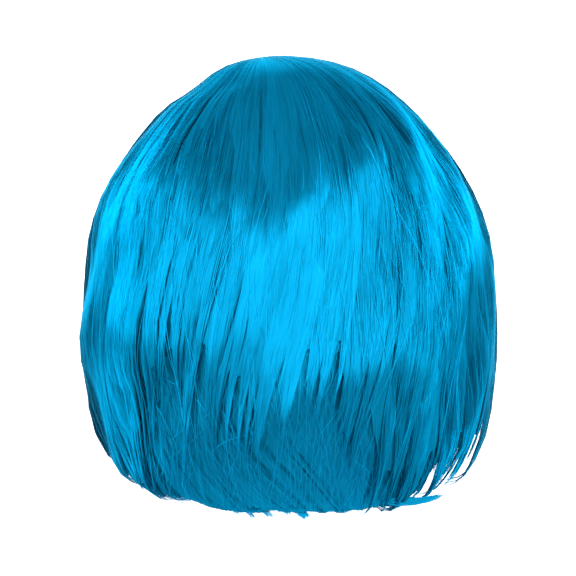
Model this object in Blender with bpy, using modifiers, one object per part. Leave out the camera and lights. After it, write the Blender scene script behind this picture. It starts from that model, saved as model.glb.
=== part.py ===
"""A chin-length bob wig: layered hair on wefts, sewn to a stretch-net cap with nape adjusters.

Metres, +Z up. The face looks along -Y and the wearer's left is +X.
The origin is where the top of the head meets the inside of the cap.
"""

import math

import bmesh
import bpy
from mathutils import Matrix, Vector

# Hair envelope
HAIR_TOP = 0.018
HALF_WIDTH = 0.118
BACK_DEPTH = 0.127
FRONT_DEPTH = 0.117
BULGE_DROP = 0.160
DOME_BLUNTNESS = 0.90
HEM_DROP = 0.253
SIDE_HEM_RISE = 0.012
HEM_TUCK = 0.25
TUCK_POWER = 1.8
TIP_DROP_BACK = 0.196
FRINGE_DROP = 0.118
BACK_TURN = 30.0
FACE_TURN = 50.0
UNDER_HAIR_DROP = 0.078

# Hair layers, measured inwards from the envelope
LAYER_THICKNESS = 0.0045
LAYER_PITCH = 0.0062
LOCK_GAP = 0.0007
WHORL_DROP = 0.00006

# Cap
CAP_HALF_WIDTH = 0.075
CAP_HALF_DEPTH = 0.094
CAP_DOME = 0.095
CAP_NAPE_TAPER = 0.08
CAP_EDGE_FRONT = 0.058
CAP_EDGE_EAR = 0.094
CAP_EDGE_NAPE = 0.150
NET_THICKNESS = 0.0008
RIBBON_OUTSET = 0.0022
RIBBON_THICKNESS = 0.0006
RIBBON_WIDTH = 0.009
PATCH_OUTSET = 0.0038
PATCH_THICKNESS = 0.0007
PATCH_DROP = 0.011
WEFT_OUTSET = 0.0046
WEFT_THICKNESS = 0.0015
WEFT_HEIGHT = 0.004
BACK_WEFT_FIRST = 0.046
BACK_WEFT_PITCH = 0.0145
BACK_WEFTS = 7
BAND_INSET = 0.0008
BAND_THICKNESS = 0.0008
FRONT_BAND_HEIGHT = 0.012
NAPE_BAND_HEIGHT = 0.018

# Ear tabs
TAB_ANGLE = -24.0
TAB_SPREAD = 9.0
TAB_GAP = 0.0018
TAB_LENGTH = 0.028
TAB_THICKNESS = 0.0014
STAY_SPREAD = 2.2
STAY_THICKNESS = 0.0008

# Nape adjusters
ADJUSTER_ANGLE = 56.0
STRAP_ANGLE = 29.0
STRAP_LIFT = 0.0016
STRAP_WIDTH = 0.007
STRAP_THICKNESS = 0.0010
LOOPS_LENGTH = 0.030
LOOPS_BASE = 0.0007
LOOP_HEIGHT = 0.0013
LOOP_PITCH = 0.008
LOOP_WIDTH = 0.0022
LOOP_COUNT = 4
HOOK_LENGTH = 0.011
HOOK_WIDTH = 0.009
HOOK_THICKNESS = 0.0012
ADJUSTER_CLEARANCE = 0.0005
ADJUSTER_BOW = 0.0026

BLUE = (0.0, 0.27, 0.52)
DEEP_BLUE = (0.0, 0.16, 0.32)
BLACK = (0.012, 0.012, 0.014)
CHARCOAL = (0.03, 0.03, 0.035)

for old in list(bpy.data.objects):
    bpy.data.objects.remove(old)

WIG = bpy.data.collections.new("bob_wig")
bpy.context.scene.collection.children.link(WIG)


def material(name, colour, roughness, metallic=0.0):
    made = bpy.data.materials.new(name)
    made.use_nodes = True
    shader = made.node_tree.nodes["Principled BSDF"]
    shader.inputs["Base Color"].default_value = (*colour, 1.0)
    shader.inputs["Roughness"].default_value = roughness
    shader.inputs["Metallic"].default_value = metallic
    made.diffuse_color = (*colour, 1.0)
    return made


OUTER_HAIR = material("outer_hair", BLUE, 0.38)
UNDER_HAIR = material("under_hair", DEEP_BLUE, 0.42)
NET = material("net", BLACK, 0.85)
LINING = material("lining", CHARCOAL, 0.8)
ELASTIC = material("elastic", CHARCOAL, 0.7)
WEFT = material("weft", DEEP_BLUE, 0.7)
TAB = material("tab", BLACK, 0.75)
STAY = material("stay", (0.25, 0.25, 0.26), 0.35, 0.9)
HOOK = material("hook", (0.04, 0.04, 0.045), 0.4)


def publish(obj, coat):
    """Put a finished object in the wig's collection with its material and smooth shading."""
    for holder in list(obj.users_collection):
        holder.objects.unlink(obj)
    WIG.objects.link(obj)
    if obj.type == "MESH":
        obj.data.shade_smooth()
        obj.data.set_sharp_from_angle(angle=math.radians(40))
    obj.data.materials.clear()
    obj.data.materials.append(coat)
    return obj


def patch(name, coat, place, around, down, thickness, closed=False):
    """An open sheet place(u, v), u round the head and v upwards, given thickness inwards."""
    work = bmesh.new()
    bmesh.ops.create_grid(work, x_segments=around, y_segments=down, size=0.5)
    for vertex in work.verts:
        vertex.co = place(vertex.co.x + 0.5, vertex.co.y + 0.5)
    if closed:
        bmesh.ops.remove_doubles(work, verts=work.verts, dist=1e-5)
    mesh = bpy.data.meshes.new(name)
    work.to_mesh(mesh)
    work.free()
    obj = bpy.data.objects.new(name, mesh)
    shell = obj.modifiers.new("thickness", "SOLIDIFY")
    shell.thickness = thickness
    shell.offset = -1.0
    shell.use_even_offset = False
    return publish(obj, coat)


def mix(low, high, share):
    return low + (high - low) * share


def latitude(drop, dome):
    """The angle down from the pole at which a surface whose dome is this tall has fallen by drop."""
    if drop <= dome:
        return math.acos(1.0 - drop / dome)
    return math.pi / 2 + (drop - dome) / dome


def drop_at(angle, dome):
    if angle <= math.pi / 2:
        return dome * (1.0 - math.cos(angle))
    return dome + dome * (angle - math.pi / 2)


def envelope_spread(angle):
    """The envelope's size at an angle down from the whorl, as a share of its widest."""
    drop = drop_at(angle, BULGE_DROP)
    if drop > BULGE_DROP:
        fallen = (drop - BULGE_DROP) / (HEM_DROP - BULGE_DROP)
        return 1.0 - HEM_TUCK * fallen**TUCK_POWER
    return math.sin(angle) ** DOME_BLUNTNESS


def envelope(turn, angle):
    """A point of the hair's outer surface, turn round from +X and angle down from the whorl."""
    drop = drop_at(angle, BULGE_DROP)
    spread = envelope_spread(angle)
    depth = BACK_DEPTH if math.sin(turn) > 0 else FRONT_DEPTH
    return Vector((
        HALF_WIDTH * spread * math.cos(turn),
        depth * spread * math.sin(turn),
        HAIR_TOP - drop,
    ))


def hair_point(turn, angle, inset):
    """A point of the envelope moved inwards along its normal."""
    step = 0.002
    across = envelope(turn + step, angle) - envelope(turn - step, angle)
    downward = envelope(turn, angle + step) - envelope(turn, angle - step)
    normal = downward.cross(across).normalized()
    return envelope(turn, angle) - normal * inset


def hem_drop(turn, shorter=0.0):
    """How far the hair reaches down: lowest at the back, rising towards the sides."""
    return HEM_DROP - SIDE_HEM_RISE * math.cos(turn) ** 2 - shorter


def hair_section(name, coat, layer, turns, top_drop, bottom, around, down):
    """One layer of hair between two turns in degrees, from top_drop to bottom(turn)."""
    start, end = (math.radians(value) for value in turns)
    top = latitude(top_drop, BULGE_DROP)
    inset = layer * LAYER_PITCH

    def place(u, v):
        low = latitude(bottom(mix(start, end, u)), BULGE_DROP)
        angle = mix(low, top, v)
        margin = LOCK_GAP / (envelope_spread(angle) * HALF_WIDTH)
        turn = mix(start + margin, end - margin, u)
        return hair_point(turn, angle, inset)

    return patch(name, coat, place, around, down, LAYER_THICKNESS)


def build_hair():
    back = (BACK_TURN, 180.0 - BACK_TURN)
    left = (-FACE_TURN, back[0])
    right = (back[1], 180.0 + FACE_TURN)
    fringe = (180.0 + FACE_TURN, 360.0 - FACE_TURN)

    def side_tips(turn):
        return hem_drop(turn, 0.016)

    hair_section("crown_hair_back", OUTER_HAIR, 0, back, WHORL_DROP, lambda turn: TIP_DROP_BACK, 13, 10)
    hair_section("crown_hair_left", OUTER_HAIR, 0, left, WHORL_DROP, side_tips, 8, 11)
    hair_section("crown_hair_right", OUTER_HAIR, 0, right, WHORL_DROP, side_tips, 8, 11)
    hair_section("fringe_hair", OUTER_HAIR, 0, fringe, WHORL_DROP, lambda turn: FRINGE_DROP, 9, 8)

    inner_left = (left[0] + 10.0, left[1])
    inner_right = (right[0], right[1] - 10.0)
    hair_section("back_hair", UNDER_HAIR, 1, back, UNDER_HAIR_DROP, hem_drop, 13, 9)
    hair_section("side_hair_left", UNDER_HAIR, 1, inner_left, UNDER_HAIR_DROP, hem_drop, 7, 9)
    hair_section("side_hair_right", UNDER_HAIR, 1, inner_right, UNDER_HAIR_DROP, hem_drop, 7, 9)

    def nape_tips(turn):
        return hem_drop(turn, 0.004)

    def temple_tips(turn):
        return hem_drop(turn, 0.010)

    nape = (back[0] + 4.0, back[1] - 4.0)
    hair_section("nape_hair", UNDER_HAIR, 2, nape, 0.130, nape_tips, 12, 6)
    hair_section("temple_hair_left", UNDER_HAIR, 2, (left[0] + 2.0, -18.0), 0.085, temple_tips, 4, 8)
    hair_section("temple_hair_right", UNDER_HAIR, 2, (198.0, right[1] - 2.0), 0.085, temple_tips, 4, 8)


def cap_point(turn, drop, outset):
    """A point of the head-side surface of the cap, moved outwards along its normal."""
    angle = latitude(drop, CAP_DOME)
    spread = math.sin(min(angle, math.pi / 2))
    if drop > CAP_DOME:
        fallen = (drop - CAP_DOME) / (CAP_EDGE_NAPE - CAP_DOME)
        spread = 1.0 - CAP_NAPE_TAPER * fallen**2
    flat = Vector((CAP_HALF_WIDTH * spread * math.cos(turn), CAP_HALF_DEPTH * spread * math.sin(turn), -drop))
    rise = max(0.0, CAP_DOME - drop)
    normal = Vector((
        flat.x / CAP_HALF_WIDTH**2,
        flat.y / CAP_HALF_DEPTH**2,
        rise / CAP_DOME**2,
    )).normalized()
    return flat + normal * outset


def cap_edge(turn):
    """How far down the cap's edge is: high over the brow, low at the nape."""
    lean = math.sin(turn)
    if lean < 0:
        return mix(CAP_EDGE_EAR, CAP_EDGE_FRONT, lean**4)
    return mix(CAP_EDGE_EAR, CAP_EDGE_NAPE, lean**2)


def cap_strip(name, coat, turns, low, high, outset, thickness, around, down=1, closed=False):
    """A strip on the cap between two turns in degrees and between the drops low(turn), high(turn)."""
    start, end = (math.radians(value) for value in turns)

    def place(u, v):
        turn = mix(start, end, u)
        near = latitude(high(turn), CAP_DOME)
        far = latitude(low(turn), CAP_DOME)
        return cap_point(turn, drop_at(mix(far, near, v), CAP_DOME), outset)

    return patch(name, coat, place, around, down, thickness, closed)


def build_net():
    cap_strip("cap_net", NET, (0, 360), cap_edge, lambda turn: 0.0, NET_THICKNESS,
              NET_THICKNESS, 36, 9, closed=True)


def build_crown_patch():
    cap_strip("crown_patch", LINING, (0, 360), lambda turn: PATCH_DROP, lambda turn: 0.0,
              PATCH_OUTSET, PATCH_THICKNESS, 24, 3, closed=True)


def build_bands():
    cap_strip("front_band", LINING, (195, 345), lambda turn: cap_edge(turn) - 0.001,
              lambda turn: cap_edge(turn) - FRONT_BAND_HEIGHT, -BAND_INSET, BAND_THICKNESS, 20)
    cap_strip("nape_band", ELASTIC, (24, 156), lambda turn: cap_edge(turn) - 0.001,
              lambda turn: cap_edge(turn) - NAPE_BAND_HEIGHT, -BAND_INSET, BAND_THICKNESS, 22)


def ribbon(name, side_shift):
    """An elastic ribbon from brow to nape over the net, side_shift to the wearer's left."""
    front = -CAP_HALF_DEPTH * 0.80
    back = CAP_HALF_DEPTH * 0.93

    def place(u, v):
        x = side_shift + (0.5 - v) * RIBBON_WIDTH
        y = mix(front, back, u)
        around = (x / CAP_HALF_WIDTH) ** 2 + (y / CAP_HALF_DEPTH) ** 2
        spread = min(math.sqrt(around), 0.995)
        drop = CAP_DOME * (1.0 - math.sqrt(1.0 - spread**2))
        return cap_point(math.atan2(y / CAP_HALF_DEPTH, x / CAP_HALF_WIDTH), drop, RIBBON_OUTSET)

    patch(name, ELASTIC, place, 26, 1, RIBBON_THICKNESS)


def build_ribbons():
    ribbon("ribbon_centre", 0.0)
    ribbon("ribbon_left", CAP_HALF_WIDTH * 0.42)
    ribbon("ribbon_right", -CAP_HALF_WIDTH * 0.42)


def weft(name, drop, turns, around, closed=False):
    """A stitched header at one drop: the strip that a row of hair hangs from."""
    cap_strip(name, WEFT, turns, lambda turn: drop + WEFT_HEIGHT, lambda turn: drop,
              WEFT_OUTSET + WEFT_THICKNESS, WEFT_THICKNESS, around, 1, closed)


def back_weft_turns(drop):
    """The turns between which the cap still reaches below a row at this drop."""
    reach = drop + 2.0 * WEFT_HEIGHT
    if reach <= CAP_EDGE_EAR:
        return (-14.0, 194.0)
    lean = math.sqrt((reach - CAP_EDGE_EAR) / (CAP_EDGE_NAPE - CAP_EDGE_EAR))
    start = math.degrees(math.asin(min(lean, 0.98)))
    return (start, 180.0 - start)


def build_wefts():
    weft("crown_weft_1", 0.012, (0, 360), 24, closed=True)
    weft("crown_weft_2", 0.026, (0, 360), 28, closed=True)
    for row in range(BACK_WEFTS):
        drop = BACK_WEFT_FIRST + row * BACK_WEFT_PITCH
        weft(f"back_weft_{row + 1}", drop, back_weft_turns(drop), 18)
    weft("fringe_weft_1", 0.036, (200, 340), 14)
    weft("fringe_weft_2", 0.047, (222, 318), 12)
    weft("temple_weft_left", 0.072, (-44, -17), 5)
    weft("temple_weft_right", 0.072, (197, 224), 5)


def ear_tab(side, middle):
    """The tab before the ear with its bendable stay, on a joint along the tab's top edge."""
    start = middle - TAB_SPREAD
    end = middle + TAB_SPREAD
    top = CAP_EDGE_EAR + TAB_GAP

    def low(turn):
        across = (math.degrees(turn) - middle) / TAB_SPREAD
        return top + TAB_LENGTH * (1.0 - 0.35 * across**2)

    cap_strip(f"ear_tab_{side}", TAB, (start, end), low, lambda turn: top,
              TAB_THICKNESS - BAND_INSET, TAB_THICKNESS, 6, 5)
    cap_strip(f"ear_stay_{side}", STAY, (middle - STAY_SPREAD, middle + STAY_SPREAD),
              lambda turn: top + TAB_LENGTH * 0.9, lambda turn: top + TAB_LENGTH * 0.12,
              -BAND_INSET - ADJUSTER_CLEARANCE, STAY_THICKNESS, 1, 5)


def nape_point(turn, lift):
    """A point along the middle of the nape band, lifted off its face towards the head."""
    drop = cap_edge(turn) - NAPE_BAND_HEIGHT / 2
    return cap_point(turn, drop, -BAND_INSET - BAND_THICKNESS - lift)


def frame_of(origin, x_axis, inward):
    """A placing with X along x_axis and Z nearest to inward."""
    y_axis = inward.cross(x_axis).normalized()
    frame = Matrix((x_axis, y_axis, x_axis.cross(y_axis))).transposed().to_4x4()
    frame.translation = origin
    return frame


def adjuster_frame():
    """The left adjuster's placing: X along the nape band towards its middle, Z to the head."""
    turn = math.radians(ADJUSTER_ANGLE)
    step = 0.08
    x_axis = (nape_point(turn + step, 0.0) - nape_point(turn - step, 0.0)).normalized()
    inward = nape_point(turn, 0.01) - nape_point(turn, 0.0)
    return frame_of(nape_point(turn, 0.0), x_axis, inward)


def on_side(side, frame):
    """The left placing itself, or its mirror image across the middle of the head."""
    if side == "left":
        return frame
    return Matrix.Scale(-1, 4, Vector((1, 0, 0))) @ frame @ Matrix.Scale(-1, 4, Vector((0, 1, 0)))


def extruded(name, coat, outlines, depth, frame, bevel=0.0):
    """Flat outlines in local X and Y, the first one solid and the rest holes, depth thick."""
    curve = bpy.data.curves.new(name, "CURVE")
    curve.dimensions = "2D"
    curve.fill_mode = "BOTH"
    curve.extrude = depth / 2 - bevel
    curve.bevel_depth = bevel
    curve.bevel_resolution = 1
    for outline in outlines:
        line = curve.splines.new("POLY")
        line.points.add(len(outline) - 1)
        for point, (x, y) in zip(line.points, outline):
            point.co = (x, y, 0.0, 1.0)
        line.use_cyclic_u = True
    holder = bpy.data.objects.new(name + "_outline", curve)
    bpy.context.scene.collection.objects.link(holder)
    graph = bpy.context.evaluated_depsgraph_get()
    mesh = bpy.data.meshes.new_from_object(holder.evaluated_get(graph))
    bpy.data.objects.remove(holder)
    work = bmesh.new()
    work.from_mesh(mesh)
    bmesh.ops.remove_doubles(work, verts=work.verts, dist=1e-6)
    bmesh.ops.recalc_face_normals(work, faces=work.faces)
    work.to_mesh(mesh)
    work.free()
    obj = bpy.data.objects.new(name, mesh)
    obj.matrix_world = frame
    return publish(obj, coat)


def rectangle(x0, y0, x1, y1):
    return [(x0, y0), (x1, y0), (x1, y1), (x0, y1)]


def ladder_outline():
    """The side view of the loop ladder: a tape with evenly spaced low loops."""
    points = [(-LOOPS_LENGTH / 2, 0.0), (LOOPS_LENGTH / 2, 0.0), (LOOPS_LENGTH / 2, LOOPS_BASE)]
    for index in reversed(range(LOOP_COUNT)):
        middle = (index - (LOOP_COUNT - 1) / 2) * LOOP_PITCH
        half = LOOP_WIDTH / 2
        points.append((middle + half, LOOPS_BASE))
        points.append((middle + half * 0.6, LOOPS_BASE + LOOP_HEIGHT))
        points.append((middle - half * 0.6, LOOPS_BASE + LOOP_HEIGHT))
        points.append((middle - half, LOOPS_BASE))
    points.append((-LOOPS_LENGTH / 2, LOOPS_BASE))
    return points


def hook_outlines():
    """The plan of the hook: a slot for the strap at one end and an open hook at the other."""
    half = HOOK_WIDTH / 2
    end = HOOK_LENGTH / 2
    hook = [
        (-end, -half), (end * 0.7, -half), (end, -half * 0.6), (end, half * 0.6),
        (end * 0.7, half), (end * 0.1, half), (end * 0.1, half * 0.45), (end * 0.5, half * 0.3),
        (end * 0.5, -half * 0.3), (-end * 0.1, -half * 0.3), (-end * 0.1, half), (-end, half),
    ]
    slot = rectangle(-end * 0.75, -half * 0.78, -end * 0.42, half * 0.78)
    return [hook, slot]


def adjuster(side):
    """The elastic strap, its sliding hook and the ladder of loops that the hook catches."""
    band = adjuster_frame()
    on_edge = Matrix.Rotation(math.radians(90), 4, "X")
    ladder = on_side(side, band @ Matrix.Translation((0.0, 0.0, ADJUSTER_BOW))) @ on_edge
    extruded(f"adjuster_loops_{side}", ELASTIC, [ladder_outline()], STRAP_WIDTH, ladder)

    hook_lift = ADJUSTER_BOW + LOOPS_BASE + LOOP_HEIGHT + ADJUSTER_CLEARANCE + HOOK_THICKNESS / 2
    first_loop = -LOOP_PITCH * (LOOP_COUNT - 1) / 2
    hook = band @ Matrix.Translation((first_loop, 0.0, hook_lift))
    extruded(f"adjuster_hook_{side}", HOOK, hook_outlines(), HOOK_THICKNESS, on_side(side, hook), 0.0002)

    tail = hook @ Vector((-HOOK_LENGTH / 2 - ADJUSTER_CLEARANCE, 0.0, 0.0))
    sewn = nape_point(math.radians(STRAP_ANGLE), STRAP_LIFT)
    reach = (tail - sewn).length / 2
    inward = nape_point(math.radians(STRAP_ANGLE), 0.01) - nape_point(math.radians(STRAP_ANGLE), 0.0)
    strap = frame_of((tail + sewn) / 2, (tail - sewn).normalized(), inward)
    flat = [rectangle(-reach, -STRAP_WIDTH / 2, reach, STRAP_WIDTH / 2)]
    extruded(f"adjuster_strap_{side}", ELASTIC, flat, STRAP_THICKNESS, on_side(side, strap))


def build_cap():
    build_net()
    build_crown_patch()
    build_bands()
    build_ribbons()
    build_wefts()
    ear_tab("left", TAB_ANGLE)
    ear_tab("right", 180.0 - TAB_ANGLE)
    adjuster("left")
    adjuster("right")


build_hair()
build_cap()
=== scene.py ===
"""A turquoise bob wig for costume wear, seen from behind: fine glossy hair over a wefted net cap."""

import math

import bmesh
import bpy
import numpy as np
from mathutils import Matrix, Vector


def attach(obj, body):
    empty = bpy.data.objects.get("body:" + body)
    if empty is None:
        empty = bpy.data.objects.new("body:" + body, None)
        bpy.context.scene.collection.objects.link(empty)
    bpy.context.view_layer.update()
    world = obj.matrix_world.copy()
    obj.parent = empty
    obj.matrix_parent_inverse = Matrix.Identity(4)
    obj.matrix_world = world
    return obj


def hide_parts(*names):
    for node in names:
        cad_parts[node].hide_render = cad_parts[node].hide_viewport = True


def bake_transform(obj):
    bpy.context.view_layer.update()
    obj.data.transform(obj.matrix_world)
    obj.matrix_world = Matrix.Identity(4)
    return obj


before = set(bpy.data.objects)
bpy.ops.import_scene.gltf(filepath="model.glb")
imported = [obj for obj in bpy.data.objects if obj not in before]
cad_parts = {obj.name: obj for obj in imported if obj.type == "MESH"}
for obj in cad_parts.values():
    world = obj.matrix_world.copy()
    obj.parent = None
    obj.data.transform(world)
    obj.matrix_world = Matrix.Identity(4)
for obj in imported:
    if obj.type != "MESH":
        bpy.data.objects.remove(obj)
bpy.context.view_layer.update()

# The hair's envelope, as the CAD model has it
HAIR_TOP = 0.018
HALF_WIDTH = 0.118
BACK_DEPTH = 0.127
FRONT_DEPTH = 0.117
BULGE_DROP = 0.160
DOME_BLUNTNESS = 0.90
HEM_DROP = 0.253
HEM_TUCK = 0.25
TUCK_POWER = 1.8
WHORL_X = 0.0147
WHORL_Y = 0.004
HEM_LOW = 0.2560
HEM_CORNER_RISE = 0.0155
HEM_LEFT_LIFT = 0.0025
CURL_RADIUS = 0.015

# Rows of (height, drop, width) where the hair stands proud of the envelope, or sunk into it
SIDE_BUMPS = ((0.0024, 0.100, 0.035), (-0.0022, 0.028, 0.022))
LEFT_BUMPS = ((0.0008, 0.002, 0.004), (-0.0024, 0.012, 0.007), (-0.0028, 0.115, 0.025),
              (-0.0028, 0.185, 0.018), (0.0006, 0.228, 0.012))
RIGHT_BUMPS = ((0.0046, 0.218, 0.030),)
BACK_BUMPS = ((0.0030, 0.150, 0.030),)
FRINGE_TUCK = 0.0080

# How far inside the envelope each layer lies, and where the under layer starts
OUTER_INSET = 0.0012
OUTER_BASE_INSET = 0.0026
UNDER_INSET = 0.0050
UNDER_BASE_INSET = 0.0064
INNER_INSET = 0.0125
UNDER_TOP = 0.078

# Strands: each takes the shade of its column, and the last two locks of columns are the pale and dark ones:
# painted highlight for glinting stray hairs, and painted shade for the gaps between clumps
COLUMNS = 96
COLUMNS_PER_LOCK = 8
LOCK_SHADES = 10
PAINTED_GLINT_COLUMN = LOCK_SHADES * COLUMNS_PER_LOCK
PAINTED_SHADE_COLUMN = PAINTED_GLINT_COLUMN + COLUMNS_PER_LOCK
STRAND_HALF_WIDTH = 0.00017
FLYAWAY_HALF_WIDTH = 0.00011
WISPS = 9
LOCK_LEAN = 0.03
LOCK_DEPTH = 0.0004
LOOSE = 0.00006
RAGGED = 0.006

ROOT = "cap_and_hair"


def lat_of(drop, dome=BULGE_DROP):
    """The angle down from the top at these drops, on a dome this high with level sides below it."""
    drop = np.asarray(drop, float)
    angle = np.arccos(np.clip(1.0 - drop / dome, -1.0, 1.0))
    return np.where(drop <= dome, angle, math.pi / 2 + (drop - dome) / dome)


def drop_of(lat, dome=BULGE_DROP):
    lat = np.asarray(lat, float)
    return np.where(lat <= math.pi / 2, dome * (1.0 - np.cos(lat)), dome * (1.0 + lat - math.pi / 2))


def envelope(turn, lat):
    """Points of the hair's outer surface."""
    drop = drop_of(lat)
    below = np.clip((drop - BULGE_DROP) / (HEM_DROP - BULGE_DROP), 0.0, None)
    dome = np.sin(np.clip(lat, 1e-4, math.pi / 2)) ** DOME_BLUNTNESS
    spread = np.where(drop > BULGE_DROP, 1.0 - HEM_TUCK * below**TUCK_POWER, dome)
    lean = np.sin(turn)
    depth = np.where(lean > 0, BACK_DEPTH, FRONT_DEPTH)
    return np.stack([HALF_WIDTH * spread * np.cos(turn), depth * spread * lean, HAIR_TOP - drop], axis=-1)


def from_whorl(turn, lat):
    """Moves the meeting point of the hair off the top of the dome and onto the whorl, along the surface."""
    spread = np.sin(np.clip(lat, 1e-4, math.pi / 2)) ** DOME_BLUNTNESS
    fade = np.where(lat < math.pi / 2, 1.0 - spread, 0.0) ** 1.4
    x = spread * np.cos(turn) + WHORL_X / HALF_WIDTH * fade
    y = spread * np.sin(turn) + WHORL_Y / BACK_DEPTH * fade
    reach = np.clip(np.hypot(x, y), 1e-5, 1.0)
    dome = np.arcsin(reach ** (1.0 / DOME_BLUNTNESS))
    inside = lat < math.pi / 2
    return np.where(inside, np.arctan2(y, x), turn), np.where(inside, dome, lat)


def smooth(x):
    x = np.clip(x, 0.0, 1.0)
    return x * x * (3.0 - 2.0 * x)


def unit(v):
    return v / np.maximum(np.linalg.norm(v, axis=-1, keepdims=True), 1e-12)


def normals(turn, lat):
    step = 0.004
    across = envelope(turn + step, lat) - envelope(turn - step, lat)
    down = envelope(turn, lat + step) - envelope(turn, lat - step)
    return unit(np.cross(down, across))


def bump_at(x, middle, width):
    return np.exp(-(((x - middle) / width) ** 2))


def bumps(drop, rows):
    return sum(height * bump_at(drop, middle, width) for height, middle, width in rows)


WAVE_RNG = np.random.default_rng(3)
WAVE_COUNTS = WAVE_RNG.integers(4, 19, 9)
WAVE_LENGTHS = WAVE_RNG.uniform(0.055, 0.130, 9)
WAVE_STARTS = WAVE_RNG.uniform(0, 2 * math.pi, 9)
WAVE_SLOPE = 0.045


def undulation(turn, drop):
    """The soft waves that the whole head of hair falls in."""
    total = 0.0
    for count, length, start in zip(WAVE_COUNTS, WAVE_LENGTHS, WAVE_STARTS):
        height = WAVE_SLOPE * length / (2 * math.pi)
        total = total + height * np.sin(count * turn + 2 * math.pi * drop / length + start)
    return total * smooth(drop / 0.05)


def bulk(turn, drop):
    """How far the hair stands proud of the envelope: fuller at the temples, and uneven left and right."""
    lean = np.cos(turn)
    sides = lean**2 * bumps(drop, SIDE_BUMPS)
    left = smooth(lean) * bumps(drop, LEFT_BUMPS)
    right = smooth(-lean) * bumps(drop, RIGHT_BUMPS)
    brow = -FRINGE_TUCK * smooth((-np.sin(turn) - 0.70) / 0.20) * smooth((drop - 0.055) / 0.065)
    swell = smooth((drop - 0.048) / 0.034) * (1.0 - smooth((drop - 0.086) / 0.090))
    crown = swell * (0.0036 * bump_at(turn, math.radians(60), 0.40)
                     - 0.0030 * bump_at(turn, math.radians(109), 0.26))
    middle = bumps(drop, BACK_BUMPS) * bump_at(turn, math.radians(92), 0.30)
    return 0.0008 + sides + left + right + brow + crown + middle + undulation(turn, drop)


def hem_drop(turn):
    """The hem's lowest line: level at the back, rounding up at the corners and sides."""
    lean = np.cos(turn)
    return HEM_LOW - (HEM_CORNER_RISE + HEM_LEFT_LIFT * lean) * np.abs(lean) ** 3.4


def hair_points(turn, drop, inset):
    """Points and facing of hair this far down the surface and inside it; past the hem it curls under."""
    start = hem_drop(turn) - CURL_RADIUS
    angle = np.clip((drop - start) / CURL_RADIUS, 0.0, 2.4)
    shown = np.where(angle > 0, start + CURL_RADIUS * np.sin(np.minimum(angle, math.pi / 2)), drop)
    over = np.where(angle > math.pi / 2, CURL_RADIUS * (1.0 - np.sin(angle)), 0.0)
    turn, lat = from_whorl(turn, lat_of(shown))
    out = normals(turn, lat)
    down = unit(envelope(turn, lat + 0.004) - envelope(turn, lat - 0.004))
    deep = np.asarray(inset) - bulk(turn, drop) + CURL_RADIUS * (1.0 - np.cos(angle))
    points = envelope(turn, lat) - out * deep[..., None]
    points[..., 2] += over
    return points, unit(out * np.cos(angle)[..., None] + down * np.sin(angle)[..., None])


def mesh_object(name, points, faces, uv, mat, cloth=None):
    """A mesh from arrays: points (n, 3), faces (m, k), and uv and cloth coordinates of each corner."""
    mesh = bpy.data.meshes.new(name)
    mesh.vertices.add(len(points))
    mesh.vertices.foreach_set("co", np.ascontiguousarray(points, np.float32).ravel())
    faces = np.ascontiguousarray(faces, np.int32)
    mesh.loops.add(faces.size)
    mesh.loops.foreach_set("vertex_index", faces.ravel())
    mesh.polygons.add(len(faces))
    mesh.polygons.foreach_set("loop_start", np.arange(len(faces), dtype=np.int32) * faces.shape[1])
    mesh.polygons.foreach_set("use_smooth", np.ones(len(faces), bool))
    mesh.update(calc_edges=True)
    for label, corners in (("OFBake", uv), ("cloth", cloth)):
        if corners is not None:
            layer = mesh.uv_layers.new(name=label)
            layer.data.foreach_set("uv", np.ascontiguousarray(corners, np.float32).ravel())
    mesh.materials.append(mat)
    obj = bpy.data.objects.new(name, mesh)
    bpy.context.scene.collection.objects.link(obj)
    return obj


def grid_faces(rows, cols):
    a = np.arange(rows * cols).reshape(rows, cols)
    return np.stack([a[:-1, :-1], a[:-1, 1:], a[1:, 1:], a[1:, :-1]], axis=-1).reshape(-1, 4)


def strand_mesh(name, path, normal, half_width, column, roll, mat, s=None, shown=None):
    """Fine ribbons along path (n, k, 3), each rolled a little from facing out and coloured by its column.

    s is how far along its strand each point is; points that aren't shown are left out.
    """
    n, k = path.shape[:2]
    along = unit(np.gradient(path, axis=1))
    side = unit(np.cross(along, normal))
    face = np.cross(side, along)
    turned = side * np.cos(roll)[..., None] + face * np.sin(roll)[..., None]
    width = half_width[..., None]
    points = np.stack([path - turned * width, path + turned * width], axis=2).reshape(-1, 3)
    a = (np.arange(n)[:, None] * k + np.arange(k - 1)[None, :]) * 2
    quads = np.stack([a, a + 2, a + 3, a + 1], axis=-1)
    u = (column[:, None, None] + np.array([0.25, 0.75])[None, None, :]) / COLUMNS
    v = 0.01 + 0.98 * (np.linspace(0, 1, k)[None, :] if s is None else s)[..., None]
    uv = np.stack(np.broadcast_arrays(u, v), axis=-1).reshape(-1, 2)
    if shown is None:
        shown = np.ones((n, k), bool)
    quads = quads[shown[:, :-1] & shown[:, 1:]]
    used = np.repeat(shown.reshape(-1), 2)
    number = np.cumsum(used) - 1
    return mesh_object(name, points[used], number[quads], uv[quads], mat)


# Materials


def new_material(name):
    mat = bpy.data.materials.new(name)
    mat.use_nodes = True
    return mat, mat.node_tree, mat.node_tree.nodes["Principled BSDF"]


def plug(tree, value, socket):
    """Links another node's output to an input, or sets the input to a plain value."""
    if isinstance(value, bpy.types.NodeSocket):
        tree.links.new(value, socket)
    else:
        socket.default_value = value


def new_node(tree, kind, **inputs):
    node = tree.nodes.new("ShaderNode" + kind)
    for name, value in inputs.items():
        plug(tree, value, node.inputs[name])
    return node


def ramp_node(tree, stops):
    node = new_node(tree, "ValToRGB")
    points = node.color_ramp.elements
    while len(points) < len(stops):
        points.new(0.5)
    for point, (at, colour) in zip(points, stops):
        point.position = at
        point.color = (*colour, 1.0)
    return node


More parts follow.
